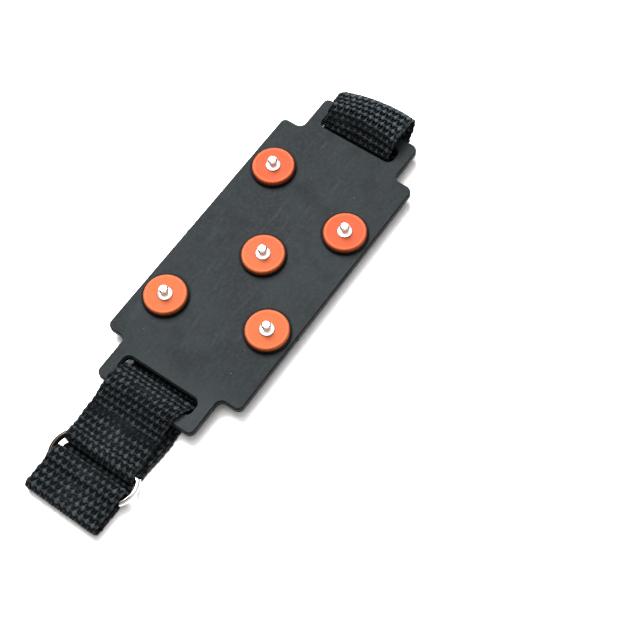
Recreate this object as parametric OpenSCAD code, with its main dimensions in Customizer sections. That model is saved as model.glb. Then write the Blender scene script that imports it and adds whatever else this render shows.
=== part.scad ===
// Mid-sole ice cleat: a studded rubber plate that a webbing strap holds under the arch of a boot.
// The studs point along +Z, +X runs along the plate to the plain loop, and the strap lies on z = 0.

/* [Plate] */
// Length of the plate between its two tabs
plate_len = 108; // [96:1:130]
// Thickness of the plate
plate_t = 4; // [3.6:0.1:5]
// Width of the step beside each tab
step_w = 8.5; // [7:0.1:12]
// Corner radius of the plate and of its tabs
corner_r = 2.3; // [1.2:0.1:4.5]
// Radius in the notch between the plate and a tab
notch_r = 2.5; // [1.5:0.1:3]
// Width of the moulded ledge along the top edges and round the slots
lip_w = 0.3; // [0.2:0.05:0.6]
// Depth of the ledge below the top face
lip_h = 1; // [0.6:0.1:1.6]
// Chamfer along the bottom edges
edge_c = 0.8; // [0.4:0.1:1]
// How far a moulding gate mark stands out of a long edge
gate_out = 0.35; // [0.1:0.05:0.6]
// Radius of a gate mark
gate_r = 1.3; // [1:0.1:2]
// Place of the gate mark along the edge beside the wide pair of studs
wide_gate_x = -6.5; // [-40:0.5:40]
// Place of the gate mark along the edge beside the narrow pair of studs
narrow_gate_x = -19.5; // [-40:0.5:40]

/* [Strap slots] */
// Rubber between the plate's end and a slot
slot_inset = 4.6; // [4:0.1:8]
// Width of a slot along the plate
slot_w = 7; // [6:0.1:9]
// Space beside the webbing at each end of a slot
slot_side = 1.3; // [0.8:0.1:3]
// Corner radius of a slot
slot_r = 2.4; // [1:0.1:2.8]
// Width of the end bar beyond a slot
bar_w = 5; // [4.4:0.1:6.4]
// Rubber beside a slot
rail_w = 5; // [4.5:0.1:8]

/* [Studs] */
// Distance of the outer stud rows from the plate's long edges
row_edge = 10.3; // [9.5:0.1:14]
// Distance of the wide pair of studs from the plate's ends
wide_pair_end = 21.1; // [14:0.1:26]
// Distance of the narrow pair of studs from the plate's ends
narrow_pair_end = 30; // [20:0.1:34]
// How far the studs lie towards the ring end
stud_back = 0.35; // [0:0.05:1]
// How far the studs lie to the side of the narrow pair
stud_side = 0.65; // [0:0.05:1]
// Height of the rubber boss under a disc
boss_h = 1.3; // [0.6:0.1:2.5]
// Width of the boss's lip outside a disc
boss_lip = 0.4; // [0.2:0.1:1]
// Diameter of a disc
disc_d = 16; // [12:0.2:17]
// Thickness of a disc
disc_t = 1.6; // [1.2:0.1:3]
// Radius around a disc's rim
disc_rim = 0.7; // [0.3:0.1:1]
// Diameter of the stud's collar
collar_d = 5.4; // [4.8:0.1:7]
// Height of the stud's domed collar
collar_h = 0.8; // [0.6:0.1:1.5]
// Height of the collar at its edge
collar_edge = 0.3; // [0.2:0.1:0.5]
// Height of the stud's point above its collar
tip_h = 3; // [2:0.1:5]
// Diameter at the root of the point
tip_root_d = 2.8; // [2.4:0.1:3.4]
// Largest diameter of the point
tip_d = 3.5; // [2.8:0.1:4.2]
// Chamfer at the end of the point
tip_c = 0.5; // [0.2:0.1:0.8]
// Diameter of the stud's shank
shank_d = 3.2; // [2.6:0.1:4]
// Radial clearance round the shank
shank_clear = 0.05; // [0.03:0.01:0.1]
// Diameter of the rivet washer
washer_d = 9; // [8:0.2:12]
// Thickness of the rivet washer
washer_t = 0.8; // [0.6:0.1:1]
// Diameter of the riveted head
rivet_d = 5.2; // [4.6:0.1:7]
// Thickness of the riveted head
rivet_h = 0.6; // [0.4:0.1:0.8]
// Radial clearance round the washer
washer_clear = 0.1; // [0.05:0.05:0.3]

/* [Webbing] */
// Width of the webbing
web_w = 30; // [25:0.5:38]
// Thickness of the webbing
web_t = 1.4; // [1.2:0.1:1.6]
// Space between layers that lie on each other
ply_gap = 0.2; // [0.15:0.05:0.3]
// How far the long strap lies to the side at the ring end
run_shift = 2; // [0:0.1:3]
// Clearance between the end bar and the sewn loop round it
bar_clear = 0.15; // [0.1:0.05:0.3]
// Space where the long strap is parted under an end bar
part_gap = 1.6; // [1:0.1:3]
// Length of the sewn lap under the plate at the plain loop
anchor_len = 22; // [14:0.5:30]
// Distance of the sewn lap from the slot
anchor_inset = 1.2; // [1:0.1:4]

/* [Plain loop] */
// Height of the loop's crown above the plate
loop_rise = 6.6; // [5:0.1:10]
// Reach of the loop beyond the plate's end
loop_out = 5; // [4:0.1:8]
// Clearance between the loop's leg and the slot's inner edge
leg_clear = 0.5; // [0.4:0.1:1.5]

/* [Ring strap] */
// Distance from the end bar to the ring's inner bar
ring_reach = 24.9; // [22:0.1:36]
// Distance from the end bar to where the two layers meet
join_near = 10.5; // [9:0.1:12]
// Distance from where the layers part to the ring's inner bar
join_far = 5; // [4:0.1:6]
// Gap at the butt seam in the lower layer
seam_gap = 0.4; // [0.2:0.1:1]
// Straight webbing between a round and the slope beside it
bar_lead = 0.4; // [0.2:0.1:1]
// Distance from the ring's inner bar to the end of the strap layer under it
return_inset = 3; // [2.5:0.1:5]

/* [Ring] */
// Diameter of the ring's wire
wire_d = 2.2; // [1.8:0.1:2.6]
// Distance between the ring's two bars
ring_span = 9.6; // [9:0.1:14]
// How far the ring's ends bow outwards
ring_bow = 1.5; // [1.5:0.1:2.5]
// Length of bar beyond the webbing at each side
ring_side = 0.6; // [0.6:0.1:3]
// Clearance between the wire and the webbing round it
wire_clear = 0.1; // [0.05:0.01:0.15]

/* [Folded strap end] */
// Distance from the ring's outer bar to the end of the fold
fold_reach = 14.2; // [13:0.1:30]
// Slack of the webbing before the ring's outer bar
fold_slack = 3.2; // [2.6:0.1:3.4]
// Length over which the upper layer rises to the ring's outer bar
rise_len = 2.9; // [2.6:0.1:4]
// Thickness of each fastening tape
tape_t = 0.6; // [0.4:0.1:0.8]
// Length of the fastening tapes
tape_len = 6.8; // [4:0.1:7]
// Width of the fastening tapes
tape_w = 26; // [16:0.5:28]

/* [Hidden] */
$fn = 64;
// Overlap that carries each cut past the surface
over = 0.5;

// Plan sizes that follow from the webbing and the slots
slot_len = web_w + 2 * slot_side;
tab_w = slot_len + 2 * rail_w;
plate_w = tab_w + 2 * step_w;
tab_len = slot_inset + slot_w + bar_w;
end_x = plate_len / 2 + tab_len;
slot_x = plate_len / 2 + slot_inset + slot_w / 2;
bar_x = end_x - bar_w / 2;

// Heights of the layers, from the surface that the strap lies on
ply = web_t + ply_gap;
run_z = web_t / 2;
low_z = run_z + ply;
high_z = low_z + ply;
plate_z = 2 * ply;
top_z = plate_z + plate_t;
bar_z = plate_z + plate_t / 2;
boss_z = top_z + boss_h;
disc_z = boss_z + disc_t;

// The sewn loop turns on the end bar, so it clears the corners of the bar and the rounds of the slot
slot_round = max(slot_r - slot_side, 0);
bar_swell = slot_r - sqrt(pow(slot_r, 2) - pow(slot_round, 2));
bar_half = bar_w / 2 + bar_swell;
bar_corner = max(norm([bar_half, plate_t / 2 - edge_c]), norm([bar_half - lip_w, plate_t / 2]));
bar_reach = ceil(bar_corner * 100) / 100;
loop_r = bar_reach + bar_clear + web_t / 2;

// The ring and the webbing that is folded round its bars
ring_x = -bar_x - ring_reach;
fold_r = wire_d / 2 + wire_clear + web_t / 2;
ring_z = low_z + fold_r;
ring_half = web_w / 2 + ring_side;
outer_x = ring_x - ring_span;
bow_r = (pow(ring_span / 2, 2) + pow(ring_bow, 2)) / (2 * ring_bow);
bow_angle = asin(ring_span / 2 / bow_r);

// The folded end: lower layer, tail, two tapes and upper layer
tail_z = low_z;
tape_z = tail_z + web_t / 2;
upper_z = tape_z + 2 * tape_t + web_t / 2;
end_r = (upper_z - run_z) / 2;
end_fold_x = outer_x - fold_reach + end_r + web_t / 2;
tape_x = outer_x - rise_len - tape_len / 2;
tail_x = tape_x - tape_len / 2 - ply_gap;

// Where the long strap is parted under the end bars, so that its ends can turn with the bars
part_r = loop_r + web_t / 2 + ply_gap;
run_end = bar_x - sqrt(pow(part_r, 2) - pow(bar_z - web_t, 2));
join_x = -bar_x - join_near;
return_end = ring_x + return_inset;
lower_start = ring_x - fold_r - web_t;

// The two stud rows, in the order of the nodes
row_y = plate_w / 2 - row_edge;
wide_x = plate_len / 2 - wide_pair_end;
narrow_x = plate_len / 2 - narrow_pair_end;
rows = [[wide_x, row_y], [narrow_x, -row_y], [0, 0], [-wide_x, row_y], [-narrow_x, -row_y]];
studs = [for (p = rows) p - [stud_back, stud_side]];
gates = [[wide_gate_x, 1], [narrow_gate_x, -1]];

rubber = [0.13, 0.14, 0.15];
orange = [1, 0.42, 0.2];
steel = [0.82, 0.82, 0.84];
webbing = [0.06, 0.06, 0.07];
tape = [0.1, 0.1, 0.11];

// Webbing is drawn from its edge, as ribbons and true arcs that meet squarely, and spans its width
function unit(v) = v / norm(v);
// Smooth step from a to b that is level at both ends
function sweep(a, b, n = 10) = [
    for (i = [0:n])
        let (t = i / n)
        [a.x + (b.x - a.x) * t, a.y + (b.y - a.y) * t * t * (3 - 2 * t)]
];
function beside(path, i, h) =
    let (n = len(path) - 1)
    let (before = unit(path[max(i, 1)] - path[max(i, 1) - 1]))
    let (after = unit(path[min(i + 1, n)] - path[min(i + 1, n) - 1]))
    let (mean = unit(before + after))
    path[i] + [-mean.y, mean.x] * h / (mean * before);
function edges(path) = concat(
    [for (i = [0:len(path) - 1]) beside(path, i, web_t / 2)],
    [for (i = [len(path) - 1:-1:0]) beside(path, i, -web_t / 2)]
);

module ribbon(path) {
    rotate([90, 0, 0])
        linear_extrude(web_w, center = true)
            polygon(edges(path));
}

module bend(c, r, from, to) {
    translate([c.x, 0, c.y])
        rotate([90, 0, 0])
            rotate(from)
                rotate_extrude(angle = to - from)
                    translate([r - web_t / 2, -web_w / 2])
                        square([web_t, web_w]);
}

module rounded(size, r) {
    square([size.x - 2 * r, size.y], center = true);
    square([size.x, size.y - 2 * r], center = true);
    for (x = [-1, 1])
        for (y = [-1, 1])
            translate([x * (size.x / 2 - r), y * (size.y / 2 - r)])
                circle(r);
}

module quarters() {
    for (x = [0, 1])
        for (y = [0, 1])
            mirror([x, 0])
                mirror([0, y])
                    children();
}

module plate_outline() {
    rounded([plate_len, plate_w], corner_r);
    rounded([2 * end_x, tab_w], corner_r);
    quarters()
        translate([plate_len / 2, tab_w / 2])
            difference() {
                translate([-over, -over])
                    square(notch_r + over);
                translate([notch_r, notch_r])
                    circle(notch_r);
            }
    for (g = gates)
        translate([g.x, g.y * (plate_w / 2 + gate_out - gate_r)])
            circle(gate_r);
}

// Profiles cut off an edge: the ledge at the top and the chamfer at the bottom
module ledge() {
    translate([-lip_w, -lip_h])
        square([lip_w + over, lip_h + over]);
}

module chamfer() {
    polygon([[-edge_c, 0], [over, 0], [over, -edge_c - over], [0, -edge_c]]);
    translate([-edge_c, 0])
        square([edge_c + over, over]);
}

// A profile carried along a straight edge, or round a convex or a concave corner
module along(from, to) {
    run = to - from;
    translate([from.x, from.y, top_z])
        rotate(atan2(run.y, run.x))
            rotate([90, 0, 90])
                linear_extrude(norm(run))
                    mirror([1, 0])
                        children();
}

module round_convex(c, r) {
    translate([c.x, c.y, top_z])
        rotate_extrude(angle = 90)
            translate([r, 0])
                children();
}

module round_concave(c, r, turn) {
    translate([c.x, c.y, top_z])
        rotate(turn)
            rotate_extrude(angle = 90)
                translate([r, 0])
                    mirror([1, 0])
                        children();
}

module round_plate() {
    corner = [plate_len / 2 - corner_r, plate_w / 2 - corner_r];
    notch = [plate_len / 2 + notch_r, tab_w / 2 + notch_r];
    tab_corner = [end_x - corner_r, tab_w / 2 - corner_r];
    quarters() {
        along([corner.x, plate_w / 2], [0, plate_w / 2])
            children();
        round_convex(corner, corner_r)
            children();
        along([plate_len / 2, notch.y], [plate_len / 2, corner.y])
            children();
        round_concave(notch, notch_r, 180)
            children();
        along([tab_corner.x, tab_w / 2], [notch.x, tab_w / 2])
            children();
        round_convex(tab_corner, corner_r)
            children();
        along([end_x, 0], [end_x, tab_corner.y])
            children();
    }
}

module round_slot() {
    corner = [slot_w / 2 - slot_r, slot_len / 2 - slot_r];
    quarters() {
        along([0, slot_len / 2], [corner.x, slot_len / 2])
            children();
        round_concave(corner, slot_r, 0)
            children();
        along([slot_w / 2, corner.y], [slot_w / 2, 0])
            children();
    }
}

module underside() {
    translate([0, 0, 2 * bar_z])
        mirror([0, 0, 1])
            children();
}

module base_plate() {
    color(rubber)
        difference() {
            union() {
                translate([0, 0, plate_z])
                    linear_extrude(plate_t)
                        plate_outline();
                for (p = studs)
                    translate([p.x, p.y, plate_z + plate_t / 2])
                        cylinder(h = plate_t / 2 + boss_h, d = disc_d + 2 * boss_lip);
            }
            round_plate()
                ledge();
            underside()
                round_plate()
                    chamfer();
            for (side = [-1, 1])
                translate([side * slot_x, 0, 0]) {
                    translate([0, 0, plate_z - over])
                        linear_extrude(plate_t + 2 * over)
                            rounded([slot_w, slot_len], slot_r);
                    round_slot()
                        ledge();
                    underside()
                        round_slot()
                            chamfer();
                }
            for (p = studs)
                translate([p.x, p.y, plate_z - over]) {
                    cylinder(h = boss_z - plate_z + 2 * over, d = shank_d + 2 * shank_clear);
                    cylinder(h = over + rivet_h + washer_t, d = washer_d + 2 * washer_clear);
                }
        }
}

module disc(p) {
    color(orange)
        translate([p.x, p.y, boss_z])
            difference() {
                rotate_extrude() {
                    square([disc_d / 2 - disc_rim, disc_t]);
                    square([disc_d / 2, disc_t - disc_rim]);
                    translate([disc_d / 2 - disc_rim, disc_t - disc_rim])
                        circle(disc_rim);
                }
                translate([0, 0, -over])
                    cylinder(h = disc_t + 2 * over, d = shank_d + 2 * shank_clear);
            }
}

module stud(p) {
    collar_z = disc_z + collar_h;
    collar_drop = collar_h - collar_edge;
    dome_r = (pow(collar_d / 2, 2) + pow(collar_drop, 2)) / (2 * collar_drop);
    color(steel)
        translate([p.x, p.y, 0])
            rotate_extrude() {
                polygon([
                    [0, plate_z],
                    [rivet_d / 2, plate_z],
                    [rivet_d / 2, plate_z + rivet_h],
                    [shank_d / 2, plate_z + rivet_h],
                    [shank_d / 2, disc_z],
                    [tip_root_d / 2, disc_z],
                    [tip_root_d / 2, collar_z],
                    [tip_d / 2, collar_z + tip_h - 2 * tip_c],
                    [tip_d / 2, collar_z + tip_h - tip_c],
                    [tip_d / 2 - tip_c, collar_z + tip_h],
                    [0, collar_z + tip_h]
                ]);
                intersection() {
                    translate([0, disc_z])
                        square([collar_d / 2, collar_h]);
                    translate([0, collar_z - dome_r])
                        circle(dome_r);
                }
            }
}

module washer(p) {
    color(steel)
        translate([p.x, p.y, plate_z + rivet_h])
            difference() {
                cylinder(h = washer_t, d = washer_d);
                translate([0, 0, -over])
                    cylinder(h = washer_t + 2 * over, d = shank_d + 2 * shank_clear);
            }
}

// The plain loop leaves the slot, stands up over the end bar and comes down outside it
module strap_loop() {
    foot = [slot_x - slot_w / 2 + leg_clear + web_t / 2, plate_z];
    crown_z = top_z + loop_rise - web_t / 2;
    back_r = (crown_z - run_z) / 2;
    back = [end_x + loop_out - web_t / 2 - back_r, run_z + back_r];
    front_r = back.x - foot.x;
    front = [back.x, crown_z - front_r];
    heel = [run_end + part_gap, run_z];
    color(webbing) {
        ribbon([foot, [foot.x, front.y]]);
        bend(front, front_r, 90, 180);
        bend(back, back_r, -90, 90);
        ribbon([[back.x, run_z], heel]);
    }
}

// The loop's sewn lap lies between the plate and the long strap
module strap_anchor() {
    end = slot_x - slot_w / 2 - anchor_inset;
    color(webbing)
        translate([end - anchor_len, -web_w / 2, low_z - web_t / 2])
            cube([anchor_len, web_w, web_t]);
}

module strap_run() {
    half = web_w / 2;
    color(webbing)
        linear_extrude(web_t)
            polygon([
                [run_end, -half],
                [run_end, half],
                [-run_end, half - run_shift],
                [-run_end, -half - run_shift]
            ]);
}

module strap_return() {
    color(webbing)
        translate([return_end, -web_w / 2 - run_shift, 0])
            cube([join_x - return_end, web_w, web_t]);
}

// Lower layer, fold, upper layer over the ring's outer bar, and the tail folded back inside
module strap_end() {
    crest = [outer_x, ring_z + fold_r];
    foot = [outer_x - rise_len, upper_z];
    turn_r = (crest.y - tail_z) / 2;
    turn = [outer_x + fold_slack, tail_z + turn_r];
    color(webbing) {
        ribbon([[lower_start, run_z], [end_fold_x, run_z]]);
        bend([end_fold_x, run_z + end_r], end_r, 90, 270);
        ribbon(concat([[end_fold_x, upper_z]], sweep(foot, crest), [[turn.x, crest.y]]));
        bend(turn, turn_r, -90, 90);
        ribbon([[turn.x, tail_z], [tail_x, tail_z]]);
    }
}

// One strip round the end bar and the ring, sewn together between them
module ring_strap() {
    bar = [-bar_x, bar_z];
    wire = [ring_x, ring_z];
    far_x = ring_x + join_far;
    seam_x = (join_x + far_x) / 2;
    bar_side = bar.x - bar_lead;
    wire_side = wire.x + bar_lead;
    color(webbing) {
        ribbon(concat(
            [[seam_x + seam_gap / 2, low_z]],
            sweep([join_x, low_z], [bar_side, bar.y - loop_r]),
            [[bar.x, bar.y - loop_r]]
        ));
        bend(bar, loop_r, -90, 90);
        ribbon(concat(
            [[bar.x, bar.y + loop_r]],
            sweep([bar_side, bar.y + loop_r], [join_x, high_z]),
            sweep([far_x, high_z], [wire_side, wire.y + fold_r]),
            [[wire.x, wire.y + fold_r]]
        ));
        bend(wire, fold_r, 90, 270);
        ribbon([[wire.x, low_z], [seam_x - seam_gap / 2, low_z]]);
    }
}

module ring() {
    bow_x = (ring_x + outer_x) / 2;
    color(steel)
        for (side = [-1, 1]) {
            translate([bow_x + side * ring_span / 2, 0, ring_z]) {
                rotate([90, 0, 0])
                    cylinder(h = 2 * ring_half, d = wire_d, center = true);
                for (y = [-1, 1])
                    translate([0, y * ring_half, 0])
                        sphere(d = wire_d);
            }
            translate([bow_x, side * (ring_half + ring_bow - bow_r), ring_z])
                rotate(side * 90 - bow_angle)
                    rotate_extrude(angle = 2 * bow_angle)
                        translate([bow_r, 0])
                            circle(d = wire_d);
        }
}

module fastening(z) {
    color(tape)
        translate([tape_x - tape_len / 2, -tape_w / 2, z])
            cube([tape_len, tape_w, tape_t]);
}

module hook_tape() {
    fastening(tape_z);
}

module loop_tape() {
    fastening(tape_z + tape_t);
}

base_plate();
for (i = [0:len(studs) - 1]) {
    disc(studs[i]);
    stud(studs[i]);
    washer(studs[i]);
}
strap_loop();
strap_anchor();
strap_run();
strap_return();
strap_end();
ring_strap();
ring();
hook_tape();
loop_tape();
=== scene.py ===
import math

import bpy
import numpy as np
from mathutils import Euler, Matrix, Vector


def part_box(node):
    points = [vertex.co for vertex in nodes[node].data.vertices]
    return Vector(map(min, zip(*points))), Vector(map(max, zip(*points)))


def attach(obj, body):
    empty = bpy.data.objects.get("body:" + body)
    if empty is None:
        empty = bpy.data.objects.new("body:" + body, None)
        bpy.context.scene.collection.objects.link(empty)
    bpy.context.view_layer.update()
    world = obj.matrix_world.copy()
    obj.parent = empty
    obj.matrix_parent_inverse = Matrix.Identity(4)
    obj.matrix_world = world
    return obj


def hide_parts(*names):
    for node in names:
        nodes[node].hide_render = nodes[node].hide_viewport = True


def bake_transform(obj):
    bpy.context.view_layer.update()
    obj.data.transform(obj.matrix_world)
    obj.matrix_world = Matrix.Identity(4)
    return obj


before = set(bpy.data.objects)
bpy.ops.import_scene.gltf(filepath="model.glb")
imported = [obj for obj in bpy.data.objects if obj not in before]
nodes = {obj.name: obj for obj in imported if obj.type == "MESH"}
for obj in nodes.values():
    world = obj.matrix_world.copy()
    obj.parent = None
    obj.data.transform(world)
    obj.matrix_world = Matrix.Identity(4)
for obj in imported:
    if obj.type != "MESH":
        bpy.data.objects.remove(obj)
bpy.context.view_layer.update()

MM = 0.001
rng = np.random.default_rng(11)
STUDS = range(1, 6)

# Webbing, in millimetres: warp yarns along the strap, and double weft picks across it
WEB_W = 30.0
WEB_T = 1.3
ENDS = 24
YARN_PITCH = WEB_W / ENDS
PICK = 2.4
LONG_PICK = 2.7
WARP_HALF_W, WARP_HALF_T = 0.60, 0.32
CREST = WEB_T / 2 - WARP_HALF_T
WEFT_R = 0.34
WEFT_SIDES = 6
WEFT_REACH = WEB_W / 2 - 0.48
CORE_HALF_W, CORE_HALF_T = WEB_W / 2 - 0.5, 0.13
CORE_STEP = 0.6

# What a seam does to the webbing: pulls it down, flattens its yarns and dims the painted light on their
# crests
SEAM_DEPTH = 0.2
SEAM_FLATTENS = 0.7
SEAM_DIMS_LIGHT = 0.95

# Levels of the webbing's middle: the run on the floor, the lower layers and the upper ones
RUN_Z = WEB_T / 2
LOW_Z = 2.05
TAIL_Z = LOW_Z + 0.2
HIGH_Z = LOW_Z + 1.4
FOLD_Z = 4.9
OVER_WIRE_Z = 6.1

# Steps along a strap's path
FILLET_STEPS = 25
PATH_STEP = 0.25
NO_STEP = 1e-4


# Meshes
def add_mesh(name, verts, faces, smooth=True, uv=None, **values):
    """Mesh object from arrays: verts in millimetres, faces as an (n, 4) array, values for each vertex."""
    mesh = bpy.data.meshes.new(name)
    verts = np.asarray(verts, np.float32) * MM
    faces = np.asarray(faces, np.int32)
    mesh.vertices.add(len(verts))
    mesh.vertices.foreach_set("co", verts.ravel())
    mesh.loops.add(faces.size)
    mesh.loops.foreach_set("vertex_index", faces.ravel())
    mesh.polygons.add(len(faces))
    mesh.polygons.foreach_set("loop_start", np.arange(0, faces.size, faces.shape[1], dtype=np.int32))
    mesh.update(calc_edges=True)
    mesh.polygons.foreach_set("use_smooth", np.full(len(faces), smooth))
    if uv is not None:
        layer = mesh.uv_layers.new(name="yarn")
        layer.data.foreach_set("uv", np.asarray(uv, np.float32)[faces.ravel()].ravel())
    for key, value in values.items():
        attr = mesh.attributes.new(key, "FLOAT", "POINT")
        attr.data.foreach_set("value", np.asarray(value, np.float32))
    mesh.validate()
    obj = bpy.data.objects.new(name, mesh)
    bpy.context.scene.collection.objects.link(obj)
    return obj


def ring_angles(sides):
    """Angles of the points round a tube."""
    return np.linspace(0, 2 * math.pi, sides, endpoint=False)


def tube_faces(rings, sides, closed):
    """Faces of a tube of rings, with its ends joined where it is closed."""
    i = np.arange(rings if closed else rings - 1)[:, None]
    j = np.arange(sides)[None, :]
    a = i * sides + j
    b = i * sides + (j + 1) % sides
    c = ((i + 1) % rings) * sides + (j + 1) % sides
    d = ((i + 1) % rings) * sides + j
    return np.stack([a, b, c, d], -1).reshape(-1, 4)


class Yarns:
    """Collects yarns into one mesh, each with a tone of its own and a value of painted light and shade for
    each point.
    """

    def __init__(self):
        self.points, self.faces, self.uv, self.tone, self.crest = [], [], [], [], []
        self.count = 0

    def add(self, points, along, ang, tone, crest, closed=False):
        """A tube of rings: its points, its lengths and angles for the texture, and its values."""
        rings, sides = points.shape[:2]
        self.points.append(points.reshape(-1, 3))
        self.faces.append(tube_faces(rings, sides, closed) + self.count)
        uv = np.broadcast_arrays(along[:, None], ang / (2 * math.pi))
        self.uv.append(np.stack(uv, -1).reshape(-1, 2))
        self.tone.append(np.full(rings * sides, tone))
        self.crest.append(np.broadcast_to(crest, (rings, sides)).ravel())
        self.count += rings * sides

    def done(self, name):
        join = np.concatenate
        return add_mesh(name, join(self.points), join(self.faces), uv=join(self.uv),
                        tone=join(self.tone), crest=join(self.crest))


# Strap paths
def filleted(corners):
    """Fine polyline through (x, z, radius) corners, with a fixed count of steps at each corner."""
    pts = [np.array(c[:2], float) for c in corners]
    line = [pts[0]]
    for k in range(1, len(pts) - 1):
        radius = corners[k][2]
        back = pts[k - 1] - pts[k]
        ahead = pts[k + 1] - pts[k]
        back /= np.linalg.norm(back)
        ahead /= np.linalg.norm(ahead)
        half = math.acos(np.clip(back @ ahead, -1, 1)) / 2
        cut = radius / math.tan(half)
        middle = (back + ahead) / np.linalg.norm(back + ahead)
        centre = pts[k] + middle * radius / math.sin(half)
        first, last = (math.atan2(*(pts[k] + way * cut - centre)[::-1]) for way in (back, ahead))
        turn = (last - first + math.pi) % (2 * math.pi) - math.pi
        for t in np.linspace(0, 1, FILLET_STEPS):
            angle = first + turn * t
            line.append(centre + radius * np.array([math.cos(angle), math.sin(angle)]))
    line.append(pts[-1])
    return line


class Strap:
    """Webbing along a path in the x-z plane, which may differ between its +Y and -Y edges."""

    def __init__(self, plus, minus, side, spread, crown=None):
        self.edges = self.matched(filleted(plus), filleted(minus))
        self.mean = self.edges.mean(0)
        step = np.linalg.norm(np.diff(self.mean, axis=0), axis=1)
        self.s = np.concatenate([[0], np.cumsum(step)])
        self.length = self.s[-1]
        tangent = np.gradient(self.mean, self.s, axis=0)
        tangent /= np.linalg.norm(tangent, axis=1)[:, None]
        self.normal = np.stack([-tangent[:, 1], tangent[:, 0]], 1)
        self.side = side
        self.spread = spread
        self.crown = crown or (lambda x, z: (0 * x, 0 * x))

    @staticmethod
    def matched(a, b):
        """Both edges in equally many short steps, without the steps that go nowhere."""
        fine_a, fine_b = [a[0]], [b[0]]
        for k in range(1, len(a)):
            go_a, go_b = a[k] - a[k - 1], b[k] - b[k - 1]
            steps = max(1, int(max(np.linalg.norm(go_a), np.linalg.norm(go_b)) / PATH_STEP))
            for i in range(1, steps + 1):
                fine_a.append(a[k - 1] + go_a * i / steps)
                fine_b.append(b[k - 1] + go_b * i / steps)
        keep = [0]
        for k in range(1, len(fine_a)):
            moved = (fine_a[k] + fine_b[k]) / 2 - (fine_a[keep[-1]] + fine_b[keep[-1]]) / 2
            if np.linalg.norm(moved) > NO_STEP:
                keep.append(k)
        return np.array([np.array(fine_a)[keep], np.array(fine_b)[keep]])

    def at(self, s, v, h):
        """Points at length s, distance v across and height h off the middle of the webbing."""
        s, v, h = np.broadcast_arrays(s, v, h)

        def along(rows):
            return np.array([np.interp(s, self.s, rows[:, k]) for k in (0, 1)])

        plus, minus = (along(edge) for edge in self.edges)
        middle = along(self.mean)
        normal = along(self.normal)
        normal /= np.sqrt((normal ** 2).sum(0))
        arch = 1 - (2 * v / WEB_W) ** 2
        out = np.array(self.crown(*middle))
        x, z = minus + (plus - minus) * (v / WEB_W + 0.5) + normal * h + out * arch
        y = v * self.spread(middle[0]) + self.side(middle[0])
        return np.stack([x, y, z], -1)

    def course(self, s):
        """1 where the path runs towards +X, and -1 where it runs towards -X."""
        return np.sign(np.interp(s, self.s, self.normal[:, 1]))

    def near(self, x, after=0.0):
        """Length at which the path first passes x, beyond a given length."""
        beyond = self.s >= after
        cross = np.nonzero(np.diff(np.sign(self.mean[beyond, 0] - x)))[0]
        return float(self.s[beyond][cross[0]])


# Weaving
def any_phase():
    """A random start for a wave."""
    return rng.uniform(0, 6.3)


def add_warp(yarns, strap, s, i, pick, sides, press):
    """Warp yarn number i: it goes over and under the picks, and each float has painted light of its own.
    """
    at_edge = i in (0, ENDS - 1)
    ang = ring_angles(sides)
    v0 = (i - (ENDS - 1) / 2) * YARN_PITCH
    # Yarns stray sideways and along the strap, and swell, in slow waves
    wobble = 0.06 * np.sin(s * 0.9 + any_phase()) + 0.05 * np.sin(s * 2.3 + any_phase())
    phase = math.pi * s / pick + math.pi * i + 0.25 * np.sin(s * 1.3 + any_phase())
    wave = np.cos(phase) * (0.55 if at_edge else 1.0)
    uneven = rng.uniform(0.6, 1.25, int(strap.length / pick) + 3)[np.round(s / pick).astype(int)]
    swell = 1 + 0.12 * np.sin(s * 1.7 + any_phase())
    pressed = press(s, v0)
    h = CREST * np.sign(wave) * np.abs(wave) ** 1.3 * swell
    h = h * (1 - SEAM_FLATTENS * pressed) - SEAM_DEPTH * pressed
    # Crests lie to the -X end of each float, broad there and running out thin to +X
    course = strap.course(s)
    broad = np.abs(np.cos(phase + 0.35 * course)) ** 2.2
    wide = WARP_HALF_W * (0.75 + 0.35 * broad if at_edge else 0.42 + 1.08 * broad)
    thick = WARP_HALF_T * (1 - 0.25 * pressed)
    across = v0 + wobble[:, None] + wide[:, None] * np.cos(ang)
    lift = np.sin(ang)
    points = strap.at(s[:, None], across, h[:, None] + thick[:, None] * lift)
    # Painted light on the top of each float and on its tail towards +X, painted shade elsewhere
    crest = np.zeros((len(s), sides))
    for face in (1, -1):
        ahead = face * np.sin(phase) * course
        top = np.clip((face * wave - 0.45 - 0.35 * ahead) / 0.55, 0, 1)
        top = top[:, None] * np.clip(face * lift + 0.7, 0, 1)
        tail = 0.6 * np.clip((face * wave + 0.6) / 0.9, 0, 1) * np.clip(3 * ahead, 0, 1)
        tail = tail[:, None] * np.clip(2.2 * face * lift - 1.0, 0, 1)
        crest = np.maximum(crest, uneven[:, None] * np.maximum(top, tail))
    yarns.add(points, s, ang, rng.uniform(), crest * (1 - SEAM_DIMS_LIGHT * pressed)[:, None])


def add_core(yarns, strap, start, end, press):
    """Dark core that closes the weave, coloured as the painted shade between the yarns."""
    s = np.linspace(start, end, max(4, int((end - start) / CORE_STEP)))
    v = CORE_HALF_W * np.array([-1, 1, 1, -1])
    h = CORE_HALF_T * np.array([-1, -1, 1, 1])
    low = SEAM_DEPTH * press(s, 0 * s)[:, None]
    yarns.add(strap.at(s[:, None], v, h - low), 0 * s, np.zeros(4), 0.0, 0.0)


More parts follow.
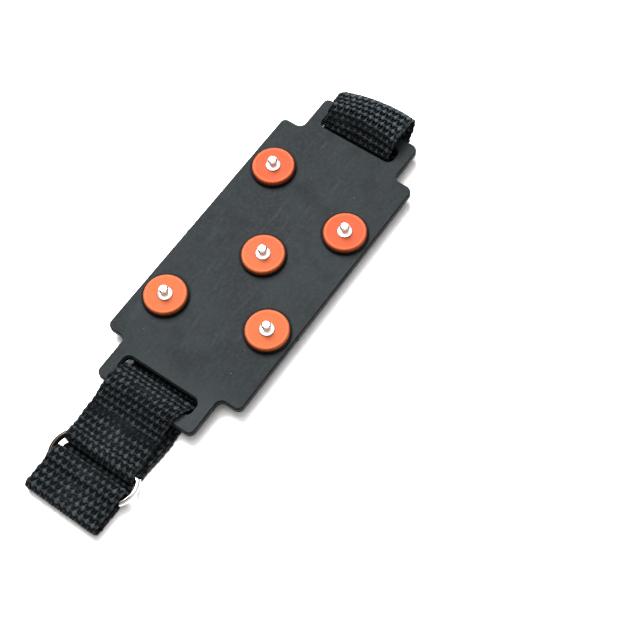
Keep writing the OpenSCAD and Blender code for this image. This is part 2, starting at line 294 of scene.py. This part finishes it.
def add_weft(yarns, strap, start, end, j, pick, press):
    """Double pick number j: a closed thread across the strap, round its edge and back beside itself."""
    ang = ring_angles(WEFT_SIDES)
    across = np.linspace(-WEFT_REACH, WEFT_REACH, 2 * ENDS + 1)
    gap = 0.13 * pick
    turn = np.radians([-60, -20, 20, 60])
    edge = WEFT_REACH + 0.15 * np.cos(turn)
    middle = j * pick
    line_s = np.concatenate([
        np.full(len(across), -gap),
        gap * np.sin(turn),
        np.full(len(across), gap),
        -gap * np.sin(turn),
    ])
    line_v = np.concatenate([across, edge, across[::-1], -edge])
    wave = np.cos(math.pi * (line_v / YARN_PITCH + (ENDS - 1) / 2) + math.pi * j)
    inside = np.abs(line_v) < WEFT_REACH - 0.1
    pressed = press(np.full_like(line_v, middle), line_v)
    h = np.where(inside, -0.30 * wave, 0.0) * (1 - SEAM_FLATTENS * pressed) - SEAM_DEPTH * pressed
    d_s, d_v = np.gradient(line_s), np.gradient(line_v)
    size = np.hypot(d_s, d_v) + 1e-9
    around = WEFT_R * np.cos(ang)
    s = np.clip(middle + line_s, start, end)[:, None] + (d_v / size)[:, None] * around
    v = line_v[:, None] - (d_s / size)[:, None] * around
    points = strap.at(np.clip(s, 0, strap.length), v, h[:, None] + WEFT_R * np.sin(ang))
    along = np.concatenate([[0], np.cumsum(np.hypot(np.diff(line_s), np.diff(line_v)))])
    # Painted light: of each pair of picks the one on the -X side is painted pale on its raised floats
    lit = np.where(line_s * strap.course(middle) < 0, 0.75, 0.05) * rng.uniform(0.6, 1.1)
    float_up = 0.04 + lit[:, None] * np.clip(-wave[:, None] * np.sin(ang), 0, 1)
    crest = np.where(inside[:, None], float_up, 0.5) * (1 - SEAM_DIMS_LIGHT * pressed)[:, None]
    yarns.add(points, along, ang, rng.uniform(), crest, closed=True)


def weave(name, strap, start, end, pick=PICK, rings=8, sides=8, press=None):
    """Plain weave between two lengths of a strap, with a number of rings for each pick."""
    yarns = Yarns()
    press = press or (lambda s, v: 0 * s)
    s = np.linspace(start, end, max(4, int(round((end - start) / pick * rings))))
    for i in range(ENDS):
        add_warp(yarns, strap, s, i, pick, sides, press)
    add_core(yarns, strap, start, end, press)
    first, last = math.ceil(start / pick - 0.2), math.floor(end / pick + 0.2)
    for j in range(first, last + 1):
        add_weft(yarns, strap, start, end, j, pick, press)
    return yarns.done(name)


# The long strap: sewn lap, plain loop, run under the plate, fold and tail, in one length
FOLD_X = -115.6
INSIDE_RING_X = -98.3


def long_points(ridge, back, heel):
    """Corners of one edge, with the places of the standing loop's three corners given."""
    lap = [(35.4, TAIL_Z), (59.5, TAIL_Z, 1.3)]
    loop = [(60.0, 7.4, 3.0), (*ridge, 3.2), (*back, 3.4), (*heel, 3.6)]
    fold = [(FOLD_X, RUN_Z, 2.0), (FOLD_X, FOLD_Z, 2.0)]
    over_wire = [(-105.9, FOLD_Z, 3.0), (-103.6, OVER_WIRE_Z, 2.5), (INSIDE_RING_X, OVER_WIRE_Z, 1.9)]
    tail = [(INSIDE_RING_X, TAIL_Z, 1.9), (-112.0, TAIL_Z)]
    return lap + loop + fold + over_wire + tail


def run_side(x):
    """How far the long strap lies to the side, from the fold to the plain loop."""
    places = [-117, -110, -103, -98.5, -91, -78, -70, -60, 65]
    shifts = [0.4, 0.4, 0.3, 0.0, -0.3, -1.2, -0.6, 0.4, 0]
    return np.interp(x, places, shifts)


def end_spread(x):
    """The folded end is a little wider than the run."""
    places = [-116, -110, -103, -98.5, -96, -90]
    wider = [0.05, 0.05, 0.05, 0.048, 0.03, 0]
    return 1 + np.interp(x, places, wider)


def loop_crown(x, z):
    """The standing loop arches up and out in the middle of its width."""
    t = np.where(x > 50, np.clip((z - 6.0) / 6.0, 0, 1), 0)
    rise = 1.2 * t * t * (3 - 2 * t)
    return rise, rise


long_strap = Strap(
    long_points((63.7, 14.3), (74.0, 14.7), (70.4, RUN_Z)),
    long_points((65.2, 13.6), (80.6, 12.0), (73.4, RUN_Z)),
    run_side,
    end_spread,
    loop_crown,
)
# The strap is parted under the middle of the plate and under the ring strap
s_heel = long_strap.near(55.0, 60.0)
s_mid = long_strap.near(0.0, s_heel - 5)
s_under = long_strap.near(-90.0, s_mid)

front = weave("webbing_front", long_strap, 0.0, s_mid)
rear = weave("webbing_rear", long_strap, s_mid, s_under, rings=4, sides=6)
closure = weave("webbing_end", long_strap, s_under, long_strap.length, LONG_PICK)

# The ring strap: one strip round the end bar and the ring's inner bar, with a seam across it
ROUND_WIRE_X = -94.87
ROUND_WIRE_R = 1.84
SEAM_X = -80.0
SEAM_HALF_W = 14.4
STITCHES = 30
LEG_V = 0.4
LEG_END_X = -75.2
LEG_STITCHES = 7
THREAD_R = 0.17
THREAD_SIDES = 6
THREAD_SINKS = -0.35


def ring_points():
    """Corners of the ring strap, from its end under the seam round the bar and round the wire."""
    under_bar = [(-83.0, LOW_Z), (-58.6, LOW_Z, 1.3)]
    over_bar = [(-66.2, 8.75, 4.0), (-69.6, 8.65, 4.0)]
    upper = [(-77.6, HIGH_Z, 6.0), (-88.6, HIGH_Z, 4.0)]
    round_wire = [
        (-91.6, 6.05, 2.4),
        (ROUND_WIRE_X, 6.05, ROUND_WIRE_R),
        (ROUND_WIRE_X, TAIL_Z, ROUND_WIRE_R),
    ]
    return under_bar + over_bar + upper + round_wire + [(-83.4, TAIL_Z)]


def ring_side(x):
    """The ring strap bows to the side between the bar and the ring."""
    places = [-96, -94.5, -91, -86, -79, -74, -70, -66, -60]
    shifts = [0.0, 0.1, 1.1, 2.0, 2.2, 2.0, 1.5, 0.6, 0.2]
    return np.interp(x, places, shifts)


def slot_spread(x):
    """The webbing spreads to fill the slot and the ring."""
    return 1 + 0.052 * np.exp(-((x + 61.5) / 5.0) ** 2) + 0.020 * np.exp(-((x + 95.0) / 4.0) ** 2)


def seam_stray(v):
    """How far the seam strays along the strap."""
    return 0.35 * np.sin(v * 0.35)


def seam_press(s, v):
    """Pressed band of the seam across the ring strap, and its short leg towards the bar."""
    x = np.interp(s, ring_web.s, ring_web.mean[:, 0])
    band = np.exp(-((x - SEAM_X - seam_stray(v)) / 1.5) ** 2)
    on_leg = np.clip((x - SEAM_X) / 0.8, 0, 1) * np.clip((LEG_END_X - x) / 0.8, 0, 1)
    return np.clip(band + np.exp(-((v - LEG_V) / 0.9) ** 2) * on_leg, 0, 1)


def thread(name, strap, line):
    """A sewing thread through points (s, v, h) on a strap."""
    line = np.array(line, float)
    middle = strap.at(line[:, 0], line[:, 1], line[:, 2])
    ahead = np.gradient(middle, axis=0)
    ahead /= np.linalg.norm(ahead, axis=1)[:, None] + 1e-9
    side = np.cross(ahead, np.array([0.0, 0.0, 1.0]))
    side /= np.linalg.norm(side, axis=1)[:, None] + 1e-9
    up = np.cross(side, ahead)
    ang = ring_angles(THREAD_SIDES)
    around = side[:, None] * np.cos(ang)[:, None] + up[:, None] * np.sin(ang)[:, None]
    yarns = Yarns()
    yarns.add(middle[:, None] + THREAD_R * around, 0.4 * np.arange(len(middle)), ang, 0.4, 0.3)
    return yarns.done(name)


def zigzag():
    """Points of the close zigzag across the strap."""
    line = []
    for k in range(STITCHES + 1):
        v = SEAM_HALF_W * (1 - 2 * k / STITCHES)
        way = 1 if k % 2 else -1
        for step, lift in enumerate((THREAD_SINKS, 0.02, 0.05, THREAD_SINKS)):
            t = step / 3
            line.append((s_seam - seam_stray(v) + way * (1 - 2 * t), v - 0.9 * t, lift))
    return line


def leg_stitches():
    """Points of the short leg from the zigzag towards the bar."""
    line = []
    for k in range(LEG_STITCHES):
        way = 1 if k % 2 else -1
        for step, lift in enumerate((THREAD_SINKS, 0.05, THREAD_SINKS)):
            line.append((s_seam - 1.2 - 0.45 * (k + step / 3), LEG_V + 0.5 * way * (1 - step), lift))
    return line


ring_web = Strap(ring_points(), ring_points(), ring_side, slot_spread)
# The seam lies on the upper layer, past the bar
s_top = ring_web.near(-70.0, ring_web.near(-66.0, 30.0))
s_seam = ring_web.near(SEAM_X, s_top)
ring_strap = weave("webbing_ring_strap", ring_web, 0.0, ring_web.length, LONG_PICK, press=seam_press)
seam = thread("seam_thread", ring_web, zigzag())
seam_leg = thread("seam_leg_thread", ring_web, leg_stitches())


# Shader nodes
def material(name):
    """A new material, with its tree and its shader."""
    mat = bpy.data.materials.new(name)
    mat.use_nodes = True
    return mat, mat.node_tree, mat.node_tree.nodes["Principled BSDF"]


def node(tree, kind, **values):
    """A new node, with sockets and properties set by name."""
    n = tree.nodes.new(kind)
    for key, value in values.items():
        if key in n.inputs:
            n.inputs[key].default_value = value
        else:
            setattr(n, key, value)
    return n


def feed(tree, socket, value):
    """Link a socket to another node's output, or set it to a number or a colour."""
    if isinstance(value, bpy.types.NodeSocket):
        tree.links.new(value, socket)
    else:
        socket.default_value = value if isinstance(value, float) else (*value, 1)


def coords(tree, kind="Object"):
    return node(tree, "ShaderNodeTexCoord").outputs[kind]


def split(tree, vector):
    """The X, Y and Z of a vector."""
    n = node(tree, "ShaderNodeSeparateXYZ")
    tree.links.new(vector, n.inputs[0])
    return n.outputs["X"], n.outputs["Y"], n.outputs["Z"]


def mapped(tree, coord, scale, turn=0.0):
    """Coordinates turned about Z and scaled on each axis."""
    n = node(tree, "ShaderNodeMapping", Scale=scale, Rotation=(0, 0, turn))
    tree.links.new(coord, n.inputs["Vector"])
    return n.outputs["Vector"]


def maths(tree, operation, a, b):
    n = node(tree, "ShaderNodeMath", operation=operation)
    feed(tree, n.inputs[0], a)
    feed(tree, n.inputs[1], b)
    return n.outputs[0]


def map_range(tree, value, low, high, to_low=0.0, to_high=1.0):
    n = node(tree, "ShaderNodeMapRange")
    for key, level in (("From Min", low), ("From Max", high), ("To Min", to_low), ("To Max", to_high)):
        n.inputs[key].default_value = level
    tree.links.new(value, n.inputs["Value"])
    return n.outputs["Result"]


def grey(v):
    return (v, v, v)


def ramp(tree, value, *stops):
    """Colour ramp with (position, colour) stops."""
    n = tree.nodes.new("ShaderNodeValToRGB")
    while len(n.color_ramp.elements) < len(stops):
        n.color_ramp.elements.new(0.5)
    for element, (position, colour) in zip(n.color_ramp.elements, stops):
        element.position = position
        element.color = (*colour, 1)
    tree.links.new(value, n.inputs["Fac"])
    return n.outputs["Color"]


def fade(tree, value, *stops):
    """Grey ramp with (position, level) stops."""
    return ramp(tree, value, *((position, grey(level)) for position, level in stops))


def noise(tree, coord, scale, detail=4.0, rough=0.6):
    n = node(tree, "ShaderNodeTexNoise", Scale=scale, Detail=detail, Roughness=rough)
    tree.links.new(coord, n.inputs["Vector"])
    return n.outputs["Fac"]


def mixed(tree, factor, a, b, blend="MIX"):
    n = node(tree, "ShaderNodeMix", data_type="RGBA", blend_type=blend)
    feed(tree, n.inputs["Factor"], factor)
    feed(tree, n.inputs[6], a)
    feed(tree, n.inputs[7], b)
    return n.outputs[2]


def times(tree, a, b):
    return mixed(tree, 1.0, a, b, "MULTIPLY")


def bump(tree, height, strength, distance, normal=None):
    n = node(tree, "ShaderNodeBump", Strength=strength, Distance=distance)
    tree.links.new(height, n.inputs["Height"])
    if normal is not None:
        tree.links.new(normal, n.inputs["Normal"])
    return n.outputs["Normal"]


def stud_distance(tree, coord):
    """Distance from the nearest stud's axis, in centimetres."""
    to_cm = 100
    flat = node(tree, "ShaderNodeVectorMath", operation="MULTIPLY")
    flat.inputs[1].default_value = (to_cm, to_cm, 0)
    tree.links.new(coord, flat.inputs[0])
    distances = []
    for i in STUDS:
        low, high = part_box(f"stud_{i}")
        far = node(tree, "ShaderNodeVectorMath", operation="DISTANCE")
        far.inputs[1].default_value = (to_cm * (low[0] + high[0]) / 2, to_cm * (low[1] + high[1]) / 2, 0)
        tree.links.new(flat.outputs[0], far.inputs[0])
        distances.append(far.outputs["Value"])
    nearest = distances[0]
    for distance in distances[1:]:
        nearest = maths(tree, "MINIMUM", nearest, distance)
    return nearest


# Materials
def webbing_material():
    """Twisted black yarns, with painted light on their crests and painted shade between them."""
    mat, t, shader = material("webbing")
    yarn = node(t, "ShaderNodeUVMap", uv_map="yarn").outputs["UV"]
    place = coords(t)
    tone = node(t, "ShaderNodeAttribute", attribute_name="tone").outputs["Fac"]
    crest = node(t, "ShaderNodeAttribute", attribute_name="crest").outputs["Fac"]
    # Twisted plies slant along the yarn, with fine fibres in them
    plies = node(t, "ShaderNodeTexWave", Scale=0.5, Distortion=1.2, Detail=2.0, bands_direction="DIAGONAL")
    t.links.new(mapped(t, yarn, (1.3, 2.0, 1.0)), plies.inputs["Vector"])
    twist = plies.outputs["Fac"]
    fibre = noise(t, mapped(t, yarn, (1.0, 9.0, 1.0)), 4.0, 3.0)
    patches = noise(t, place, 420.0, 2.0)
    base = ramp(t, tone, (0.0, (0.036, 0.049, 0.057)), (1.0, (0.072, 0.095, 0.107)))
    base = mixed(t, fade(t, fibre, (0.35, 0.0), (0.8, 0.7)), base, (0.110, 0.138, 0.152))
    base = mixed(t, fade(t, twist, (0.0, 0.45), (0.5, 1.0)), (0.008, 0.009, 0.010), base)
    base = mixed(t, fade(t, patches, (0.36, 0.40), (0.62, 1.0)), (0.010, 0.0125, 0.0145), base)
    # Painted shade between the crests, and painted light on them
    base = mixed(t, fade(t, crest, (0.05, 0.0), (0.70, 1.0)), (0.0045, 0.0068, 0.0085), base)
    # Painted light: the standing loop is made paler than the flat straps
    x = split(t, place)[0]
    base = times(t, base, map_range(t, x, 0.0625, 0.069, 1.0, 1.65))
    t.links.new(base, shader.inputs["Base Color"])
    t.links.new(fade(t, fibre, (0.2, 0.40), (0.8, 0.60)), shader.inputs["Roughness"])
    t.links.new(fade(t, crest, (0.05, 0.10), (0.7, 0.30)), shader.inputs["Specular IOR Level"])
    normal = bump(t, twist, 0.55, 0.00012)
    t.links.new(bump(t, fibre, 0.35, 0.00006, normal), shader.inputs["Normal"])
    return mat


def rubber_material():
    """Matt black rubber: cloudy, with painted sheen towards one end, dusty, and with painted shade on
    walls, bosses and the feet of the bosses.
    """
    mat, t, shader = material("rubber")
    wall_shade = (0.0075, 0.0085, 0.0095)
    place = coords(t)
    x, y, z = split(t, place)
    clouds = noise(t, place, 90.0, 7.0, 0.70)
    sheen_patches = noise(t, place, 32.0, 3.0, 0.5)
    fine = noise(t, place, 700.0, 3.0, 0.6)
    grain = noise(t, place, 2600.0, 2.0, 0.5)
    base = ramp(t, clouds, (0.30, (0.016, 0.021, 0.0235)), (0.70, (0.046, 0.056, 0.061)))
    # Painted sheen: paler patches, most of them towards -X and -Y
    along = map_range(t, x, 0.03, -0.06, 0.12, 0.75)
    across = map_range(t, y, 0.020, -0.006, 0.15, 1.0)
    sheen_gradient = maths(t, "MULTIPLY", along, across)
    painted_sheen = times(t, fade(t, sheen_patches, (0.38, 0.0), (0.60, 1.0)), sheen_gradient)
    base = mixed(t, painted_sheen, base, (0.062, 0.073, 0.077))
    base = mixed(t, fade(t, fine, (0.45, 0.0), (0.75, 0.4)), base, (0.074, 0.087, 0.092))
    # Dark blotches
    blotch = fade(t, noise(t, place, 55.0, 5.0, 0.65), (0.56, 0.0), (0.70, 0.55))
    base = mixed(t, blotch, base, (0.017, 0.021, 0.023))
    # Pale specks of dust, in some places only
    specks = node(t, "ShaderNodeTexVoronoi", Scale=260.0, Randomness=1.0)
    t.links.new(place, specks.inputs["Vector"])
    dots = fade(t, specks.outputs["Distance"], (0.03, 1.0), (0.075, 0.0))
    some = fade(t, noise(t, place, 210.0, 1.0), (0.55, 0.0), (0.66, 0.7))
    base = mixed(t, times(t, dots, some), base, (0.33, 0.35, 0.34))
    # Faint rubbed streaks
    streak = noise(t, mapped(t, place, (60, 420, 60), 0.7), 1.0, 3.0)
    base = mixed(t, fade(t, streak, (0.60, 0.0), (0.78, 0.30)), base, (0.105, 0.115, 0.118))
    # Painted shade: side walls and the bosses under the discs are darker than the top
    normal_z = split(t, coords(t, "Normal"))[2]
    base = mixed(t, fade(t, normal_z, (0.45, 0.0), (0.85, 1.0)), wall_shade, base)
    base = mixed(t, map_range(t, z, 0.0073, 0.0075), base, wall_shade)
    # Painted shadow: dark rings at the feet of the bosses, the second one shifted towards +X and +Y
    foot_shadow = fade(t, stud_distance(t, place), (0.85, 0.9), (0.91, 0.0))
    base = mixed(t, foot_shadow, base, (0.0075, 0.0080, 0.0088))
    shifted = node(t, "ShaderNodeVectorMath", operation="ADD")
    shifted.inputs[1].default_value = (-0.0006, -0.0006, 0)
    t.links.new(place, shifted.inputs[0])
    foot_shadow = fade(t, stud_distance(t, shifted.outputs[0]), (0.88, 0.85), (0.93, 0.0))
    base = mixed(t, foot_shadow, base, (0.0080, 0.0075, 0.0085))
    t.links.new(base, shader.inputs["Base Color"])
    t.links.new(fade(t, clouds, (0.3, 0.62), (0.7, 0.78)), shader.inputs["Roughness"])
    normal = bump(t, grain, 0.22, 0.00008)
    t.links.new(bump(t, fine, 0.15, 0.0001, normal), shader.inputs["Normal"])
    shader.inputs["Specular IOR Level"].default_value = 0.2
    return mat


def disc_material():
    """Satin orange plastic, redder towards +X, with a painted highlight on the rim and a ring of painted
    shade at the collar.
    """
    mat, t, shader = material("stud_disc")
    place = coords(t)
    x = split(t, place)[0]
    clouds = noise(t, place, 140.0, 4.0)
    grain = noise(t, place, 1500.0, 3.0)
    base = ramp(t, clouds, (0.3, (0.89, 0.180, 0.053)), (0.7, (0.96, 0.212, 0.067)))
    base = mixed(t, map_range(t, x, -0.005, 0.02), base, (0.90, 0.138, 0.044))
    base = mixed(t, fade(t, grain, (0.4, 0.0), (0.8, 0.25)), base, (0.98, 0.23, 0.08))
    radius = stud_distance(t, place)
    # Painted highlight: a pale ring on the rounded rim
    base = mixed(t, fade(t, radius, (0.66, 0.0), (0.73, 0.5), (0.775, 0.0)), base, (1.0, 0.34, 0.15))
    # Painted shade: a dark ring round the collar
    base = mixed(t, fade(t, radius, (0.275, 0.85), (0.31, 0.0)), base, (0.16, 0.035, 0.018))
    t.links.new(base, shader.inputs["Base Color"])
    t.links.new(fade(t, clouds, (0.3, 0.36), (0.7, 0.48)), shader.inputs["Roughness"])
    t.links.new(bump(t, grain, 0.12, 0.00006), shader.inputs["Normal"])
    shader.inputs["Specular IOR Level"].default_value = 0.12
    shader.inputs["Subsurface Weight"].default_value = 0.08
    shader.inputs["Subsurface Radius"].default_value = (0.0012, 0.0004, 0.0002)
    return mat


def stud_finish_and_reflection(t, place, base, rough):
    """The collar is frosted, and the stem under the point has a painted orange reflection of the disc
    round it.
    """
    # Heights are shares of 20 mm
    height = maths(t, "MULTIPLY", split(t, place)[2], 50.0)
    collar = fade(t, height, (0.540, 1.0), (0.546, 0.0))
    stem = fade(t, height, (0.545, 0.0), (0.550, 1.0), (0.640, 1.0), (0.655, 0.0))
    side = fade(t, split(t, coords(t, "Normal"))[2], (0.2, 1.0), (0.5, 0.0))
    base = mixed(t, collar, base, grey(0.95))
    # Painted reflection: orange on the sides of the stem
    base = mixed(t, times(t, stem, side), base, (0.60, 0.27, 0.17))
    return base, mixed(t, collar, rough, grey(0.40))


def ring_reflection(t, place, base, rough):
    """Painted reflections on the two bows: dark inside and brown outside at +Y, a brown streak at -Y."""
    x, y = split(t, place)[:2]
    facing = map_range(t, split(t, coords(t, "Normal"))[1], -1.0, 1.0)
    plus = ramp(t, facing, (0.10, grey(0.012)), (0.42, grey(0.012)), (0.50, (0.055, 0.038, 0.030)),
                (0.60, (0.125, 0.088, 0.068)), (0.95, (0.17, 0.13, 0.105)))
    minus = ramp(t, facing, (0.22, grey(1.0)), (0.34, (0.14, 0.095, 0.075)),
                 (0.50, (0.08, 0.052, 0.040)), (0.62, grey(1.0)))
    minus = mixed(t, map_range(t, x, -0.0995, -0.0965), minus, grey(1.0))
    under_web, past_web = (WEB_W / 2 - 0.5) * MM, (WEB_W / 2 + 0.5) * MM
    shade = mixed(t, map_range(t, y, -past_web, -under_web), minus, grey(1.0))
    shade = mixed(t, map_range(t, y, under_web, past_web), shade, plus)
    return times(t, base, shade), rough


def metal_material(name, smooth, dull, tint, finish_and_reflection):
    """Bright turned metal between two roughnesses, with a finish and painted reflections of its own."""
    mat, t, shader = material(name)
    place = coords(t)
    clouds = noise(t, place, 420.0, 4.0)
    lines = noise(t, mapped(t, place, (300, 300, 4200)), 1.0, 2.0)
    base = ramp(t, clouds, (0.3, tuple(0.93 * c for c in tint)), (0.7, tint))
    rough = fade(t, clouds, (0.3, smooth), (0.7, dull))
    base, rough = finish_and_reflection(t, place, base, rough)
    t.links.new(base, shader.inputs["Base Color"])
    t.links.new(rough, shader.inputs["Roughness"])
    t.links.new(bump(t, lines, 0.02, 0.00002), shader.inputs["Normal"])
    shader.inputs["Metallic"].default_value = 1.0
    return mat


def tape_material():
    """Black pile of the hook and loop tapes."""
    mat, t, shader = material("fastening_tape")
    pile = noise(t, coords(t), 2400.0, 4.0)
    t.links.new(fade(t, pile, (0.3, 0.010), (0.7, 0.030)), shader.inputs["Base Color"])
    t.links.new(fade(t, pile, (0.3, 0.65), (0.7, 0.85)), shader.inputs["Roughness"])
    t.links.new(bump(t, pile, 0.6, 0.0002), shader.inputs["Normal"])
    return mat


WEBBING = webbing_material()
RUBBER = rubber_material()
DISC = disc_material()
STEEL = metal_material("stud_steel", 0.22, 0.32, (0.92, 0.92, 0.93), stud_finish_and_reflection)
CHROME = metal_material("ring_wire", 0.07, 0.14, (0.86, 0.86, 0.87), ring_reflection)
TAPE = tape_material()


def paint(obj, mat):
    obj.data.materials.clear()
    obj.data.materials.append(mat)


paint(nodes["base_plate"], RUBBER)
paint(nodes["ring"], CHROME)
for i in STUDS:
    paint(nodes[f"disc_{i}"], DISC)
    paint(nodes[f"stud_{i}"], STEEL)
    paint(nodes[f"washer_{i}"], STEEL)
for piece in (front, rear, closure, ring_strap, seam, seam_leg):
    paint(piece, WEBBING)

# Fastening tapes
TAPE_GRID = (26, 90)
PILE_LOW, PILE_HIGH = -0.08, 0.02
TAPE_SEED = 40


def tape_pad(name, low, high, seed):
    """A thin tape with a fine pile of bumps on its faces."""
    x0, y0, z0 = (v / MM for v in low)
    x1, y1, z1 = (v / MM for v in high)
    nx, ny = TAPE_GRID
    gx, gy = np.meshgrid(np.linspace(x0, x1, nx), np.linspace(y0, y1, ny), indexing="ij")
    pile = np.random.default_rng(seed).uniform(PILE_LOW, PILE_HIGH, (2, nx, ny))
    top = np.stack([gx, gy, z1 + pile[0]], -1).reshape(-1, 3)
    under = np.stack([gx, gy, z0 - pile[1]], -1).reshape(-1, 3)
    count = nx * ny
    index = np.arange(count).reshape(nx, ny)
    quads = np.stack([index[:-1, :-1], index[1:, :-1], index[1:, 1:], index[:-1, 1:]], -1).reshape(-1, 4)
    rim = np.concatenate([index[:-1, 0], index[-1, :-1], index[:0:-1, -1], index[0, :0:-1]])
    after = np.roll(rim, -1)
    walls = np.stack([rim, rim + count, after + count, after], -1)
    faces = np.concatenate([quads, quads[:, ::-1] + count, walls])
    return add_mesh(name, np.concatenate([top, under]), faces)


for k, name in enumerate(("hook_tape", "loop_tape")):
    pad = tape_pad(f"pile_{name}", *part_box(name), seed=TAPE_SEED + k)
    paint(pad, TAPE)
    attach(pad, "closure")
    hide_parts(name)

# Bodies
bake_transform(front)
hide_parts("strap_loop", "strap_anchor", "strap_run")
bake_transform(rear)
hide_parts("strap_return")
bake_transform(closure)
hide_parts("strap_end")
for piece in (ring_strap, seam, seam_leg):
    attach(piece, "ring_strap")
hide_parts("ring_strap")

# Stage, light and camera
FLOOR_HALF = 3000
FLOOR_Z = -0.02
FLOOR_SEEN = (2.6, 2.59, 2.57)
FLOOR_BOUNCE = grey(0.42)
CAMERA_AT = (-0.16603, -0.17016, 0.41422)
CAMERA_TURN = (26.9146, 3.0772, -54.6612)
LENS = 72.514


def floor_material():
    """White floor: the camera sees it over-exposed, and it throws little light back."""
    mat, t, shader = material("floor")
    t.nodes.remove(shader)
    path = node(t, "ShaderNodeLightPath").outputs
    distance = node(t, "ShaderNodeVectorMath", operation="LENGTH")
    t.links.new(coords(t), distance.inputs[0])
    away = distance.outputs["Value"]
    # Shiny parts mirror the edge of the white sheet and a brown table round it
    sheet = ramp(t, away, (0.16, grey(1.0)), (0.24, (0.06, 0.042, 0.032)))
    mirrored = times(t, sheet, FLOOR_SEEN)
    seen = node(t, "ShaderNodeBsdfDiffuse")
    t.links.new(mixed(t, path["Is Camera Ray"], mirrored, FLOOR_SEEN), seen.inputs["Color"])
    other = node(t, "ShaderNodeBsdfDiffuse", Color=(*FLOOR_BOUNCE, 1))
    near = node(t, "ShaderNodeMixShader")
    t.links.new(maths(t, "MAXIMUM", path["Is Camera Ray"], path["Is Glossy Ray"]), near.inputs[0])
    t.links.new(other.outputs[0], near.inputs[1])
    t.links.new(seen.outputs[0], near.inputs[2])
    # Beyond the lamps the camera sees plain white
    white = node(t, "ShaderNodeEmission", Color=(1, 1, 1, 1))
    whole = node(t, "ShaderNodeMixShader")
    far = fade(t, away, (0.35, 0.0), (0.75, 1.0))
    t.links.new(times(t, far, path["Is Camera Ray"]), whole.inputs[0])
    t.links.new(near.outputs[0], whole.inputs[1])
    t.links.new(white.outputs[0], whole.inputs[2])
    t.links.new(whole.outputs[0], t.nodes["Material Output"].inputs["Surface"])
    return mat


def studio_world():
    """Soft room light: white overhead, dim and warm towards the horizon, white to the camera."""
    world = bpy.data.worlds.new("studio")
    bpy.context.scene.world = world
    world.use_nodes = True
    t = world.node_tree
    background = t.nodes["Background"]
    path = node(t, "ShaderNodeLightPath").outputs
    y, z = split(t, coords(t, "Generated"))[1:]
    sky = ramp(t, z, (0.0, (0.15, 0.12, 0.10)), (0.30, (0.24, 0.205, 0.185)), (0.64, grey(0.96)))
    # What shiny parts mirror: a brown room on the +Y side
    lowered = maths(t, "SUBTRACT", z, maths(t, "MULTIPLY", y, 0.75))
    height = maths(t, "MINIMUM", lowered, z)
    room = ramp(t, height, (0.0, (0.10, 0.062, 0.046)), (0.36, (0.27, 0.17, 0.13)), (0.52, grey(0.96)))
    sky = mixed(t, path["Is Glossy Ray"], sky, room)
    t.links.new(mixed(t, path["Is Camera Ray"], sky, grey(1.0)), background.inputs["Color"])
    seen = maths(t, "MAXIMUM", path["Is Camera Ray"], path["Is Glossy Ray"])
    t.links.new(map_range(t, seen, 0.0, 1.0, 0.32, 1.0), background.inputs["Strength"])


def area(name, place, size, power):
    """Square lamp that shines at the origin."""
    light = bpy.data.lights.new(name, "AREA")
    light.shape = "RECTANGLE"
    light.size = light.size_y = size
    light.energy = power
    obj = bpy.data.objects.new(name, light)
    bpy.context.scene.collection.objects.link(obj)
    obj.location = place
    obj.rotation_euler = (-Vector(place)).to_track_quat("-Z", "Y").to_euler()


def camera():
    """Camera at the photo's viewing angle."""
    data = bpy.data.cameras.new("camera")
    data.lens = LENS
    data.sensor_width = 36.0
    data.clip_start = 0.01
    obj = bpy.data.objects.new("camera", data)
    obj.location = CAMERA_AT
    obj.rotation_euler = Euler([math.radians(a) for a in CAMERA_TURN], "XYZ")
    bpy.context.scene.collection.objects.link(obj)
    bpy.context.scene.camera = obj


corners = [(x * FLOOR_HALF, y * FLOOR_HALF, FLOOR_Z) for x, y in ((-1, -1), (1, -1), (1, 1), (-1, 1))]
floor = add_mesh("floor", corners, [[0, 1, 2, 3]], smooth=False)
floor.data.materials.append(floor_material())
studio_world()
area("key", (0.42, 0.56, 1.05), 0.7, 14.5)
area("top", (0.1, 0.15, 1.35), 0.7, 3.0)
camera()
bpy.context.scene.view_settings.view_transform = "Standard"

bpy.context.view_layer.update()
